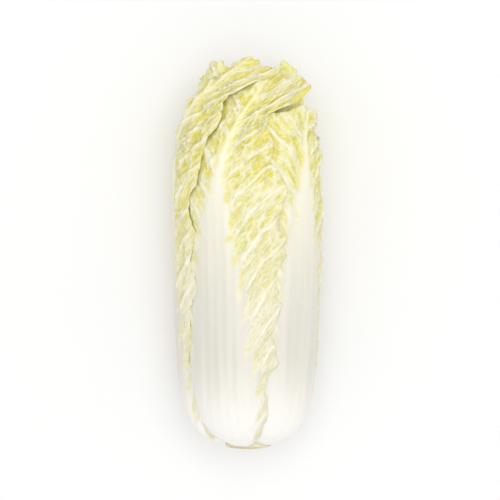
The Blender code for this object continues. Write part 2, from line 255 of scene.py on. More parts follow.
# Shares of the leaf between which a blade turns yellower, a rib loses its base that is white and brightened
# with painted light, and streaks begin
YELLOWING = (0.3, 0.85)
WHITE_AND_LIT_BASE = (0.28, 0.06)
STREAKS_START = (0.1, 0.3)
# Patches of a mark: noise by scale and detail, then the values between which the mark grows to its full
MOTTLE = ((55, 4), (0.35, 0.7))
STREAKS = ((130, 3, (1, 0.05, 1)), (0.35, 0.65))
BROWNING = ((70, 2), (0.62, 0.72))
CORE_MOTTLE = ((120, 4), (0.3, 0.7))
CUT_BROWNING = ((90, 3), (0.3, 0.6))
# Shares of the way to the edge of the cut between which it browns
CUT_EDGE = (0.7, 0.97)
# How strongly each mark of the skin shows
MOTTLE_SHARE = 0.3
# HOLLOW_SHARE sets the painted shade in hollows, creases and valleys, at the base and its growth towards the
# tip; CREST_SHARE sets the painted highlight on crests
HOLLOW_SHARE = (0.1, 0.85)
CREST_SHARE = 0.45
VEIN_SHARE = 0.9
NET_SHARE = 0.26
STREAK_SHARE = 0.6
DRY_SHARE = 0.4
# The skin's fine roughness: its strength, its height in metres, and the shares of the net and of pores
SKIN_BUMP = (0.35, 0.0006)
WRINKLE_SHARE = 0.7
PORE_SHARE = 0.3
PORE_NOISE = (900, 4)
SKIN_ROUGHNESS = (0.36, 0.55)
ROUGHNESS_NOISE = (220, 3)
SKIN_DEPTH = {
    "Subsurface Weight": 0.25,
    "Subsurface Radius": (1.0, 0.9, 0.6),
    "Subsurface Scale": 0.003,
    "Specular IOR Level": 0.4,
}
CUT_BUMP = (0.5, 0.001)
CUT_NOISE = (500, 4)
CUT_ROUGHNESS = 0.55
# Degrees by which the white of a rib runs on to its left
WHITE_TO_LEFT = 4

# What each leaf of a whorl adds to the phase of its ruffles and to the seed of its noise
PHASE_STEP = 1.9
SEED_STEP = 100
NOISE_SIZE = 64
# Where a scattered point lies in its unit square, and a distance that none of them is at
CELL_JITTER = (0.12, 0.88)
FAR_AWAY = 9.0
# Soft noise over a blade: size across and along the leaf, shift between its two wings, step of the seed
BLADE_NOISE = {
    "wander": (22, 26, 7, 0),
    "small_wander": (7, 9, 7, 1),
    "soft_pucker": (11, 13, 5, 3),
    "fine_pucker": (4, 5, 5, 4),
    "crease": (9, 12, 3, 12),
}

# Veins of a blade. Spacings are along the leaf, and the share of one is what is left square to the vein.
RIB_EDGE_SHARE = 0.92
BLADE_FADE = 5
WANDER = 3.2
SMALL_WANDER = 1.2
VEIN_SPACING = 19
VEIN_SQUARE_SHARE = 0.7
VEIN_SLOPE = 1.15
VEIN_CURVE = 0.006
VEIN_WIDTH = 0.45
VEIN_TAPER = 24
VEIN_HEIGHT = 0.45
SMALL_VEIN_SPACING = 7.5
SMALL_VEIN_SQUARE_SHARE = 0.9
SMALL_VEIN_SLOPE = 0.4
SMALL_VEIN_WANDER = 2.2
SMALL_VEIN_WIDTH = 0.55
SMALL_VEIN_START = (1, 9)
SMALL_VEIN_HEIGHT = 0.3
NET_HEIGHT = 0.15
# A crease runs beside each main vein, at a share of the spacing from it, and is darkened with painted shade
CREASE_SHIFT = 0.085
CREASE_START = (2, 7)
CREASE_BREAK = (-0.3, 0.4)
CREASE_DEPTH = 0.35

# Puckered cells and crinkles between the veins, and how their height grows towards the tips
CELL_SIZE = 4.4
CELL_STRETCH = 1.7
CELL_SLANT = 0.5
CELL_WANDER = (2, 1.5)
CELL_SHIFT = 31
NET_WALL = (0.03, 0.3)
HOLLOW_WALL = (0.05, 0.5)
CRINKLE_LENGTH = 7.5
CRINKLE_WIDTH = 3.6
CRINKLE_SHIFT = 5
CRINKLE_WANDER = 0.6
# Finer crinkles on the crinkles: how many times smaller along and across the veins, and their share
FINE_CRINKLE_SCALE = (2.3, 2.1)
FINE_CRINKLE_SHARE = 0.6
PUCKER_GROWTH = [((90, 200), 0.3), ((200, 265), 1.3)]
PUCKER_AT_BASE = 0.9
PLEAT_HEIGHT = 0.8
SOFT_PUCKER_HEIGHT = 0.8
FINE_PUCKER_HEIGHT = 0.4
CRINKLE_HEIGHT = 0.4
HOLLOW_DEPTH = 0.4

# How much each form counts in the masks that the colours follow: the crest mask paints highlights and the
# hollow mask paints shade
CREST_LEVEL = 0.4
CREST_FROM_CRINKLE = 0.4
CREST_FROM_PUCKER = 0.25
VEIN_FROM_SMALL = 0.4
VEIN_FROM_NET = 0.15
HOLLOW_FROM_CELL = 0.6

# Lengthwise bands, strings and swellings of a rib: size across it, height, and where they fade at the base
BAND_WIDTH = 7.2
BAND_HEIGHT = 0.38
STRING_WIDTH = 2.6
STRING_HEIGHT = 0.02
STRING_DRIFT = 1.4
SWELL_SIZE = (14, 38)
SWELL_HEIGHT = 0.35
RIB_DRIFT_SIZE = (30, 70)
RIB_DRIFT = 2.5
BAND_EVENNESS = 0.6
RIBBING_FADE = (20, 75)
RIBBING_AT_BASE = 0.3

# Fingers of white that run out from a rib along its veins
FINGER_SLOPE = 1.6
FINGER_REACH = 12
FINGER_LENGTH = 8
FINGER_LENGTH_COVERED = 2
RAGGED_HEIGHT = 3.5
RAGGED_SIZE = (5, 8)
RAGGED_RIB = (3, 14)
WHITE_EDGE = (-6, 3.5)

# The part of a left wing that the next leaf lies over
COVERED_OFFSET = (8, 18)
COVERED_END = (262, 278)
# Where the relief of a rib fades on its left, and by how much
STRINGS_END = (16, 24)
STRINGS_LOST = 0.6
# The rim of a blade, as shares of the way to its margin and to its tip, and the part of it that dries
RIM_AT_MARGIN = (0.85, 1)
RIM_AT_TIP = (0.94, 1)
DRY_AT_MARGIN = (0.86, 1)
DRY_AT_TIP = (0.93, 1)
# Shares of the relief that are lost under the next leaf, at the rim, and where a wing hugs the next leaf
LOST_UNDER_NEXT = 0.65
LOST_AT_RIM = 0.5
LOST_HUGGING = 0.8
# How deep the relief may cut into the gap to the next leaf, and with no gap
DEEPEST_IN_GAP = 0.7
DEEPEST_WITHOUT_GAP = 0.4

# The photograph's framing: real size of a pixel, and where the head's axis and cut stem lie in it
PHOTO_SIDE_PX = 500
MM_PER_PX = 0.727
AXIS_PX = 248
STEM_PX = 446.5
LENS_MM = 100
SENSOR_MM = 36

# The studio, in metres: its floor, how bright its surroundings are, and its one light
FLOOR_SIZE = 8
FLOOR_COLOURS = ((0.86, 0.86, 0.86), (0.88, 0.88, 0.88))
FLOOR_NOISE = (3, 2)
FLOOR_ROUGHNESS = 0.9
SURROUNDINGS = 0.86
KEY_PLACE = (0.1, 0.15, 1.7)
KEY_SIZE = 1.2
KEY_POWER = 10.5


def smooth_outline(points):
    """Catmull-Rom curve through the points, with OUTLINE_STEPS samples between each two."""
    points = np.array(points, float)
    before = np.vstack([2 * points[0] - points[1], points, 2 * points[-1] - points[-2]])
    pieces = []
    for a, b, c, d in zip(before, before[1:], before[2:], before[3:]):
        t = np.linspace(0, 1, OUTLINE_STEPS, endpoint=False)[:, None]
        pieces.append(0.5 * (2 * b + (c - a) * t + (2 * a - 5 * b + 4 * c - d) * t**2
                             + (3 * b - a - 3 * c + d) * t**3))
    return np.vstack(pieces + [points[-1:]])


OUTER_CURVE = smooth_outline(OUTER_OUTLINE)
INNER_CURVE = smooth_outline(INNER_OUTLINE)
OUTER_STEPS = np.hypot(*np.diff(OUTER_CURVE, axis=0).T)
OUTER_LENGTH = np.concatenate([[0], np.cumsum(OUTER_STEPS)])


def by_place(table, place):
    """The value at a place along the head, from a short list of places and values."""
    places, values = zip(*table)
    return np.interp(place, places, values)


def smooth_step(low, high, value):
    """Smooth rise from 0 at low to 1 at high."""
    share = np.clip((value - low) / (high - low), 0, 1)
    return share * share * (3 - 2 * share)


def soft_noise(x, y, seed):
    """Smooth random values from -1 to 1 that change about once a unit."""
    table = np.random.default_rng(seed).uniform(-1, 1, (NOISE_SIZE, NOISE_SIZE))
    column, row = np.floor(x).astype(int), np.floor(y).astype(int)
    across, up = smooth_step(0, 1, x - column), smooth_step(0, 1, y - row)
    corners = [[table[(row + j) % NOISE_SIZE, (column + i) % NOISE_SIZE] for i in (0, 1)] for j in (0, 1)]
    low = corners[0][0] * (1 - across) + corners[0][1] * across
    high = corners[1][0] * (1 - across) + corners[1][1] * across
    return low * (1 - up) + high * up


def cell_walls(x, y, seed):
    """How much further the second of scattered points is than the nearest: 0 on the walls between cells."""
    jitter = np.random.default_rng(seed).uniform(*CELL_JITTER, (NOISE_SIZE, NOISE_SIZE, 2))
    column, row = np.floor(x).astype(int), np.floor(y).astype(int)
    nearest = np.full(x.shape, FAR_AWAY)
    second = np.full(x.shape, FAR_AWAY)
    for j in (-1, 0, 1):
        for i in (-1, 0, 1):
            spot = jitter[(row + j) % NOISE_SIZE, (column + i) % NOISE_SIZE]
            distance = np.hypot(x - column - i - spot[..., 0], y - row - j - spot[..., 1])
            second = np.minimum(second, np.maximum(nearest, distance))
            nearest = np.minimum(nearest, distance)
    return second - nearest


def press(angle, place, radius):
    """How far the outer face is pushed in at the underside, where the head lies on it."""
    down = np.maximum(-np.cos(np.radians(angle)), UNDERSIDE_LEAST_COSINE)
    spare = radius - by_place(UNDERSIDE, place) / down
    return 0.5 * (spare + np.sqrt(spare**2 + UNDERSIDE_SOFTNESS**2))


def crumple(angle, place):
    """The soft folds that all leaves share towards the tips of the head."""
    rise = np.clip((place - CRUMPLE_START) / (SWIRL_END - CRUMPLE_START), 0, 1) ** CRUMPLE_POWER
    turn = np.radians(angle)
    return rise * sum(
        height * np.sin(around * turn + place * along + phase) for around, along, phase, height in CRUMPLES
    )


def head_point(angle, place, depth):
    """Points in millimetres at an angle round the axis, a place along the outline, and a depth in from it."""
    angle, place, depth = np.broadcast_arrays(angle, place, depth)
    outer = [np.interp(place, OUTER_LENGTH, OUTER_CURVE[:, k]) for k in (0, 1)]
    inner = [np.interp(place, OUTER_LENGTH, INNER_CURVE[:, k]) for k in (0, 1)]
    spoke = [inner[0] - outer[0], inner[1] - outer[1]]
    length = np.hypot(*spoke)
    swirl = np.clip((place - SWIRL_START) / (SWIRL_END - SWIRL_START), 0, 1) ** SWIRL_POWER
    turned = angle + SWIRL_TURN * swirl
    pressed = press(turned, place, outer[1]) * (1 - depth / PRESSED_DEPTH)
    reach = (depth + pressed - crumple(angle, place)) / length
    distance = outer[0] + spoke[0] * reach
    radius = outer[1] + spoke[1] * reach
    turned = np.radians(turned)
    return np.stack([
        AXIS_X + by_place(SWAY, distance) + radius * np.sin(turned),
        HEAD_START + distance,
        AXIS_HEIGHT + radius * np.cos(turned),
    ], axis=-1)


def ridge(position, spacing, width):
    """Smooth ridges, 1 high, at every whole number of a position that counts them."""
    distance = np.abs(position - np.round(position)) * spacing
    return np.exp(-((distance / width) ** 2))


def blade_noise(kind, beyond, place, side, seed):
    """Soft noise over a blade, of one of the kinds in BLADE_NOISE."""
    across, along, shift, step = BLADE_NOISE[kind]
    return soft_noise(beyond / across + shift * side, place / along, seed + step)


def sharp_noise(x, y, seed):
    """Noise with sharp crests, 1 high."""
    return 1 - 4 * np.abs(soft_noise(x, y, seed))


def blade_relief(offset, place, rib_half, seed):
    """Height and colour masks of a blade: its branching veins, and the puckered cells between them, with a
    crest mask for painted highlights and a hollow mask for painted shade.
    """
    radius = np.interp(place, OUTER_LENGTH, OUTER_CURVE[:, 1])
    side = np.sign(offset)
    sideways = np.radians(np.abs(offset)) * radius
    rib_edge = np.radians(rib_half) * radius
    beyond = np.maximum(sideways - rib_edge * RIB_EDGE_SHARE, 0)
    on_blade = smooth_step(0, BLADE_FADE, beyond)

    wander = WANDER * blade_noise("wander", beyond, place, side, seed)
    wander = wander + SMALL_WANDER * blade_noise("small_wander", beyond, place, side, seed)
    along_vein = place - VEIN_SLOPE * beyond + VEIN_CURVE * beyond**2
    half_step = 0.5 * (side > 0)
    main_line = (along_vein + wander) / VEIN_SPACING + half_step
    main_spacing = VEIN_SPACING * VEIN_SQUARE_SHARE
    main = ridge(main_line, main_spacing, VEIN_WIDTH + np.exp(-beyond / VEIN_TAPER))
    small_line = (place - SMALL_VEIN_SLOPE * beyond + SMALL_VEIN_WANDER * wander) / SMALL_VEIN_SPACING
    small = ridge(small_line, SMALL_VEIN_SPACING * SMALL_VEIN_SQUARE_SHARE, SMALL_VEIN_WIDTH)
    small = small * smooth_step(*SMALL_VEIN_START, beyond)
    crease = ridge(main_line + CREASE_SHIFT, main_spacing, VEIN_WIDTH) * smooth_step(*CREASE_START, beyond)
    crease = crease * smooth_step(*CREASE_BREAK, blade_noise("crease", beyond, place, side, seed))

    cells_across = side * (beyond + CELL_SLANT * place) + CELL_WANDER[0] * wander
    cells_along = along_vein + CELL_WANDER[1] * wander
    wall = cell_walls(
        cells_across / (CELL_SIZE * CELL_STRETCH) + CELL_SHIFT, cells_along / CELL_SIZE, seed + 2,
    )
    net = 1 - smooth_step(*NET_WALL, wall)
    hollow = smooth_step(*HOLLOW_WALL, wall) * on_blade * (1 - main)
    pleat = 0.5 + 0.5 * np.cos(2 * math.pi * main_line)
    soft = blade_noise("soft_pucker", beyond, place, side, seed)
    fine = blade_noise("fine_pucker", beyond, place, side, seed)
    along = beyond / CRINKLE_LENGTH + CRINKLE_SHIFT * side
    across = (along_vein + CRINKLE_WANDER * wander) / CRINKLE_WIDTH
    fine_crinkle = sharp_noise(FINE_CRINKLE_SCALE[0] * along, FINE_CRINKLE_SCALE[1] * across, seed + 15)
    crinkle = sharp_noise(along, across, seed + 14) + FINE_CRINKLE_SHARE * fine_crinkle

    puckers = PUCKER_AT_BASE + sum(growth * smooth_step(*span, place) for span, growth in PUCKER_GROWTH)
    height = PLEAT_HEIGHT * (pleat - 0.5) + SOFT_PUCKER_HEIGHT * soft + FINE_PUCKER_HEIGHT * fine
    height = on_blade * puckers * (height + CRINKLE_HEIGHT * crinkle - HOLLOW_DEPTH * hollow)
    height = height + on_blade * (VEIN_HEIGHT * main + SMALL_VEIN_HEIGHT * small + NET_HEIGHT * net)
    height = height - CREASE_DEPTH * crease
    # Painted highlights on the tops of the crinkles, pleats and puckers
    crest = CREST_LEVEL + CREST_FROM_CRINKLE * crinkle + CREST_FROM_PUCKER * (fine + pleat + soft)
    crest = np.clip(crest, 0, 1)
    veins = np.clip(main + VEIN_FROM_SMALL * small + VEIN_FROM_NET * net, 0, 1)
    veins = on_blade * veins * (1 - crease)
    # Painted shade in the sunken cells away from the crests and in the creases beside the main veins
    hollow = np.maximum(HOLLOW_FROM_CELL * hollow * (1 - crest), crease)

    reach = np.clip(sideways - rib_edge, -FINGER_REACH, FINGER_REACH)
    finger_line = (place - FINGER_SLOPE * VEIN_SLOPE * reach + wander) / VEIN_SPACING + half_step
    fingers = 0.5 + 0.5 * np.cos(2 * math.pi * finger_line)
    return height, {"vein": veins, "hollow": hollow, "crest": crest}, fingers


def rib_relief(offset, place, rib, seed):
    """Broad lengthwise bands and fine strings under the skin of a rib."""
    radius = np.interp(place, OUTER_LENGTH, OUTER_CURVE[:, 1])
    sideways = np.radians(offset) * radius
    drift = RIB_DRIFT * soft_noise(sideways / RIB_DRIFT_SIZE[0], place / RIB_DRIFT_SIZE[1], seed + 5)
    bands = np.cos(2 * math.pi * (sideways + drift) / BAND_WIDTH)
    strings = np.cos(2 * math.pi * (sideways + STRING_DRIFT * drift) / STRING_WIDTH)
    swell = soft_noise(sideways / SWELL_SIZE[0], place / SWELL_SIZE[1], seed + 6)
    bands = bands * (BAND_EVENNESS + (1 - BAND_EVENNESS) * swell)
    ribbing = BAND_HEIGHT * bands + STRING_HEIGHT * strings + SWELL_HEIGHT * swell
    ribbing = ribbing * (RIBBING_AT_BASE + (1 - RIBBING_AT_BASE) * smooth_step(*RIBBING_FADE, place))
    return np.sqrt(rib) * ribbing


def leaf_height(leaf, offset, place, fall):
    """Height of a leaf over its own depth: it falls to the left, rises to the right and bulges at its rib."""
    share = offset / leaf["pitch"]
    left_fall = leaf["left_fall"] * fall
    mean_slant = (leaf["right_rise"] + left_fall) / 2
    bend = (leaf["right_rise"] - left_fall) / 2
    soft = SLANT_SOFTNESS / leaf["pitch"]
    slant = mean_slant * share + bend * (np.sqrt(share**2 + soft**2) - soft)
    rib_half = by_place(RIB_HALF_ANGLE, place) * leaf["pitch"] / WIDTHS_PITCH
    rib = np.clip(1 - (offset / rib_half) ** 2, 0, 1)
    bulge = RIB_BULGE * rib * np.sqrt(by_place(RIB_STRENGTH, place))
    return slant * by_place(SLANT_STRENGTH, place) + bulge


def hugging_height(leaf, shape, across, offset, place, thickness):
    """Height of a leaf whose right wing closes down on the next leaf, how far it does, and the gap it had."""
    height = leaf_height(leaf, offset, place, shape["fall"])
    next_shape = {key: by_place(table, place) for key, table in leaf["next_shape"].items()}
    from_next = offset + shape["lean"] - next_shape["lean"] - leaf["to_next"]
    next_leaf = leaf_height(leaf, from_next, place, next_shape["fall"])
    gap = np.maximum(height - thickness - next_leaf - HUG_GAP, 0)
    hug = by_place(MARGIN_HUG, place) * np.clip(across, 0, 1) ** HUG_POWER
    return height - hug * gap, hug, gap


def flare(shape, across):
    """How far the left wing and the tip of a leaf flare out."""
    tip = smooth_step(TIP_FLARE_START, TIP_FLARE_FULL[0], across)
    tip = tip * (1 - smooth_step(TIP_FLARE_FULL[1], TIP_FLARE_END, across))
    return shape["left_flare"] * smooth_step(0, LEFT_FLARE_FULL, -across) + shape["tip_flare"] * tip


def ruffled_rim(seed, across, up, place, wave, tip_wave, away):
    """How far the waves and frills of the right margin and of the tip stand out."""
    right = np.clip(across, 0, 1)
    stray = soft_noise(place / FRILL_STRAY_LENGTH, across * 0, seed + 10)
    frill = (0.5 + 0.5 * np.sin(place / FRILL_LENGTH + FRILL_STRAY * stray)) * right**FRILL_POWER
    margin_wave = MARGIN_WAVE_HEIGHT * (0.5 + 0.5 * wave) * right**MARGIN_POWER
    margin = (margin_wave + FRILL_HEIGHT * frill) * away * by_place(MARGIN_LOOSE, place)
    tip_stray = soft_noise(across * TIP_FRILL_STRAYS, across * 0, seed + 11)
    tip_frill = 0.5 + 0.5 * np.sin(TIP_FRILLS * across + TIP_FRILL_STRAY * tip_stray)
    tip = TIP_WAVE_HEIGHT * (0.5 + 0.5 * tip_wave) * up**TIP_WAVE_POWER
    return margin + tip + TIP_FRILL_HEIGHT * tip_frill * up**TIP_FRILL_POWER


def rib_whiteness(offset, from_rib, place, rib_half, fingers, covered, seed):
    """The white of a rib, with fingers along the veins at its ragged edge."""
    finger_length = FINGER_LENGTH + (FINGER_LENGTH_COVERED - FINGER_LENGTH) * covered
    ragged = RAGGED_HEIGHT * soft_noise(offset / RAGGED_SIZE[0], place / RAGGED_SIZE[1], seed + 13)
    ragged = ragged + finger_length * (fingers - 0.5)
    ragged = (ragged + WHITE_TO_LEFT * (offset < 0)) * smooth_step(*RAGGED_RIB, rib_half)
    return 1 - smooth_step(*WHITE_EDGE, np.abs(from_rib) - rib_half - ragged)


def leaf_surfaces(leaf):
    """The outer and inner face of one leaf as grids of points, and the masks that its colours follow."""
    across = np.linspace(-1, 1, leaf["columns"] + 1)[None, :]
    rows = np.linspace(0, 1, leaf["rows"] + 1)[:, None]
    # Rows of the inner leaves crowd towards the tips, which are what shows
    up = rows + leaf["crowding"] * rows * (1 - rows)
    edge = np.abs(across)
    seed = leaf["seed"]
    row_place = leaf["tip"] * up
    shape = {key: by_place(table, row_place) for key, table in leaf["shape"].items()}

    # The waved outline
    tip_wave = np.sin(TIP_WAVES * across + leaf["phase"])
    tip_lobes = TIP_LOBE_HEIGHT * soft_noise(across * TIP_LOBES, across * 0 + 1, seed + 7)
    corner = np.where(across > 0, RIGHT_CORNER_DROP, LEFT_CORNER_DROP * shape["left_corner"])
    tip_edge = TIP_WAVE_LENGTH * tip_wave + tip_lobes - corner * edge**CORNER_POWER
    place = row_place + tip_edge * up**TIP_ROW_POWER
    wave = np.sin(2 * math.pi * place / MARGIN_WAVE_LENGTH + leaf["phase"])
    away = np.clip((place - WAVE_START) / (WAVE_FULL - WAVE_START), 0, 1)
    lobes = soft_noise(place / LOBE_LENGTHS[0], across * 0 + 3, seed + 8)
    lobes = lobes + SMALL_LOBE_SHARE * soft_noise(place / LOBE_LENGTHS[1], across * 0, seed + 9)
    right = by_place(RIGHT_MARGIN, row_place) * shape["right_width"]
    left = by_place(LEFT_MARGIN, row_place) * shape["left_width"]
    margin = np.where(across > 0, right, left) * leaf["pitch"] / WIDTHS_PITCH
    margin_wave = (MARGIN_WAVE_ANGLE * wave + LOBE_ANGLE * lobes) * away * edge**MARGIN_POWER
    offset = across * (margin + margin_wave)

    # The thick rib and the thin blade
    from_rib = offset - shape["rib_side"]
    rib_half = by_place(RIB_HALF_ANGLE, place) * shape["rib_width"] * leaf["pitch"] / WIDTHS_PITCH
    rib = np.clip(1 - (from_rib / rib_half) ** 2, 0, 1)
    rib_strength = by_place(RIB_STRENGTH, place)
    at_rim = np.maximum(smooth_step(*RIM_AT_MARGIN, edge), smooth_step(*RIM_AT_TIP, up))
    blade = BLADE_THICKNESS + (RIM_THICKNESS - BLADE_THICKNESS) * at_rim
    thickness = blade + (leaf["rib"] - blade) * rib_strength * rib
    height, hug, gap = hugging_height(leaf, shape, across, offset, place, thickness)

    # The relief, flatter where the next leaf lies over it and at the rim
    relief, masks, fingers = blade_relief(from_rib, place, rib_half, seed)
    covered = smooth_step(*COVERED_OFFSET, -offset) * (1 - smooth_step(*COVERED_END, place))
    relief = relief * (1 - LOST_UNDER_NEXT * covered) * (1 - LOST_AT_RIM * at_rim)
    relief = relief * (1 - LOST_HUGGING * hug * (1 - up))
    relief = np.maximum(relief, -DEEPEST_IN_GAP * gap - DEEPEST_WITHOUT_GAP)
    strings = rib_relief(from_rib, place, rib, seed) * (1 - STRINGS_LOST * smooth_step(*STRINGS_END, -offset))
    ruffle = ruffled_rim(seed, across, up, place, wave, tip_wave, away)
    height = height + flare(shape, across) + leaf["ruffle"] * (ruffle + relief)
    outer_depth = leaf["depth"] - height - strings * np.sqrt(rib_strength)
    angle = leaf["angle"] + offset + shape["lean"]
    outer = head_point(angle, place, outer_depth)
    inner = head_point(angle, place, outer_depth + thickness)

    # Nothing reaches below the table, and the lowest leaf lies flat on it
    lift = np.maximum(SURFACE_GAP - outer[..., 2], 0)
    outer[..., 2] += lift
    inner[..., 2] += lift
    if leaf["name"] == RESTING_LEAF:
        outer[..., 2] = np.where(outer[..., 2] < REST_BAND, 0, outer[..., 2])
    masks["rib"] = rib_whiteness(offset, from_rib, place, rib_half, fingers, covered, seed)
    masks["rim"] = np.maximum(smooth_step(*DRY_AT_MARGIN, edge) * away, smooth_step(*DRY_AT_TIP, up))
    masks["place"] = place / SWIRL_END
    return outer, inner, masks


def sheet_faces(rows, columns):
    """Quads of a closed thin blade: outer face, inner face and the rim between them."""
    width = columns + 1
    inner_start = (rows + 1) * width
    corner = (np.arange(rows)[:, None] * width + np.arange(columns)[None, :]).ravel()
    outer = np.stack([corner, corner + 1, corner + width + 1, corner + width], axis=1)
    inner = outer[:, ::-1] + inner_start
    bottom = np.arange(width)
    right = np.arange(1, rows + 1) * width + columns
    top = rows * width + np.arange(columns - 1, -1, -1)
    left = np.arange(rows - 1, 0, -1) * width
    rim = np.concatenate([bottom, right, top, left])
    after = np.roll(rim, -1)
    band = np.stack([after, rim, rim + inner_start, after + inner_start], axis=1)
    return np.vstack([outer, inner, band])


def mesh_object(name, points, faces, masks, material):
    """A smooth mesh piece from points in millimetres, with its masks stored on its points."""
    mesh = bpy.data.meshes.new(name)
    points = np.asarray(points, float) * MM
    mesh.vertices.add(len(points))
    mesh.vertices.foreach_set("co", points.ravel())
    mesh.loops.add(faces.size)
    mesh.loops.foreach_set("vertex_index", faces.ravel())
    mesh.polygons.add(len(faces))
    mesh.polygons.foreach_set("loop_start", np.arange(len(faces)) * faces.shape[1])
    mesh.update(calc_edges=True)
    mesh.validate()
    mesh.shade_smooth()
    for mask, values in masks.items():
        layer = mesh.attributes.new(mask, "FLOAT", "POINT")
        layer.data.foreach_set("value", np.asarray(values, np.float32).ravel())
    mesh.materials.append(material)
    piece = bpy.data.objects.new(name, mesh)
    bpy.context.scene.collection.objects.link(piece)
    return piece


def place_piece(piece, node, slot):
    """The piece stands for a node of the frame: it hangs under the root, and the plain part of that node is
    hidden. The slot is not used.
    """
    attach(piece, "root")
    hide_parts(node)


def make_leaf(leaf, material, slot):
    """One fine leaf in place of the plain one."""
    outer, inner, masks = leaf_surfaces(leaf)
    points = np.vstack([outer.reshape(-1, 3), inner.reshape(-1, 3)])
    both = {name: np.tile(values.ravel(), 2) for name, values in masks.items()}
    faces = sheet_faces(leaf["rows"], leaf["columns"])
    piece = mesh_object("fine_" + leaf["name"], points, faces, both, material)
    place_piece(piece, leaf["name"], slot)


def make_whorl(kind, material, slot):
    """One ring of leaves, at the angles of their ribs round the head."""
    whorl = WHORLS[kind]
    count = len(whorl["angles"])
    shapes = [{**USUAL_SHAPE, **LEAF_SHAPES.get(f"{kind}_{number + 1}", {})} for number in range(count)]
    for number, (angle, tip) in enumerate(zip(whorl["angles"], whorl["tips"])):
        after = (number + 1) % count
        make_leaf(dict(
            whorl,
            name=f"{kind}_{number + 1}",
            pitch=360 / count,
            angle=angle,
            tip=tip,
            phase=PHASE_STEP * number + whorl["depth"],
            seed=SEED_STEP * number + int(whorl["depth"]),
            shape=shapes[number],
            next_shape=shapes[after],
            to_next=(whorl["angles"][after] - angle) % 360,
        ), material, slot)


def heart_fold(angle, place):
    """Height of the heart's wrapped leaves: each rises slowly round the heart and ends in a step."""
    turns = (angle + HEART_SPIRAL * place / SWIRL_END) * HEART_FOLDS / 360
    share = turns - np.floor(turns)
    return HEART_FOLD_HEIGHT * np.minimum(share, (1 - share) * HEART_FOLD_STEEPNESS)


def stem_rings():
    """Rings of the cut face, its rounded edge and the stem's side: radius, distance along the head, cut."""
    turn = np.linspace(0, 2 * math.pi, HEART_COLUMNS, endpoint=False)
    radius = STEM_RADIUS - STEM_CLEARANCE
    for size in np.linspace(STEM_CENTRE, radius - STEM_CHAMFER, CUT_RINGS):
        grain_x = size * np.sin(turn) / GRAIN_SIZE + GRAIN_SHIFT
        grain_y = size * np.cos(turn) / GRAIN_SIZE + GRAIN_SHIFT
        grain = soft_noise(grain_x, grain_y, GRAIN_SEED)
        dish = DISH_DEPTH * (1 - (size / radius) ** 2)
        yield size, dish + CUT_START + GRAIN_HEIGHT * grain, size / radius
    for step in np.linspace(EDGE_START, 1, EDGE_RINGS):
        bend = step * math.pi / 2
        size = radius - STEM_CHAMFER * (1 - math.sin(bend))
        yield size, STEM_CHAMFER * (1 - math.cos(bend)) + CUT_START, size / radius
    top_of_stem = head_point(0, 0, HEART_DEPTH)[1] - HEAD_START
    for distance in np.linspace(SIDE_START, top_of_stem, SIDE_RINGS):
        yield radius, distance, 0


def make_stem_and_heart(material):
    """The cut stem, and the tight bud of small leaves that grows out of it."""
    angle = np.arange(HEART_COLUMNS) * 360 / HEART_COLUMNS
    turn = np.radians(angle)
    points = []
    cut = []
    for size, distance, cut_share in stem_rings():
        points.append(np.stack([
            AXIS_X + size * np.sin(turn),
            HEAD_START + distance + 0 * turn,
            AXIS_HEIGHT + size * np.cos(turn),
        ], axis=-1))
        cut.append(cut_share)
    for share in np.linspace(0, 1, HEART_ROWS + 1)[1:]:
        place = SWIRL_END * share
        fold = heart_fold(angle, place) * math.sin(math.pi * share)
        points.append(head_point(angle, place, HEART_DEPTH - fold))
    last = points[-1]
    for share in HEART_CLOSING:
        shrunk = last * share + (1 - share) * last.mean(axis=0)
        shrunk[:, 1] = last[:, 1].mean() + HEART_TIP * (1 - share)
        points.append(shrunk)
    cut += [0] * (len(points) - len(cut))
    count = HEART_COLUMNS
    ring = np.arange(len(points) - 1)[:, None] * count
    column = np.arange(count)[None, :]
    after = (column + 1) % count
    faces = np.stack([ring + column, ring + after, ring + after + count, ring + column + count], axis=-1)
    points = np.vstack(points)
    masks = {"cut": np.repeat(cut, count), "heart": smooth_step(*HEART_YELLOWING, points[:, 1] - HEAD_START)}
    piece = mesh_object("fine_stem_and_heart", points, faces.reshape(-1, 4), masks, material)
    place_piece(piece, "stem_and_heart", "stem")


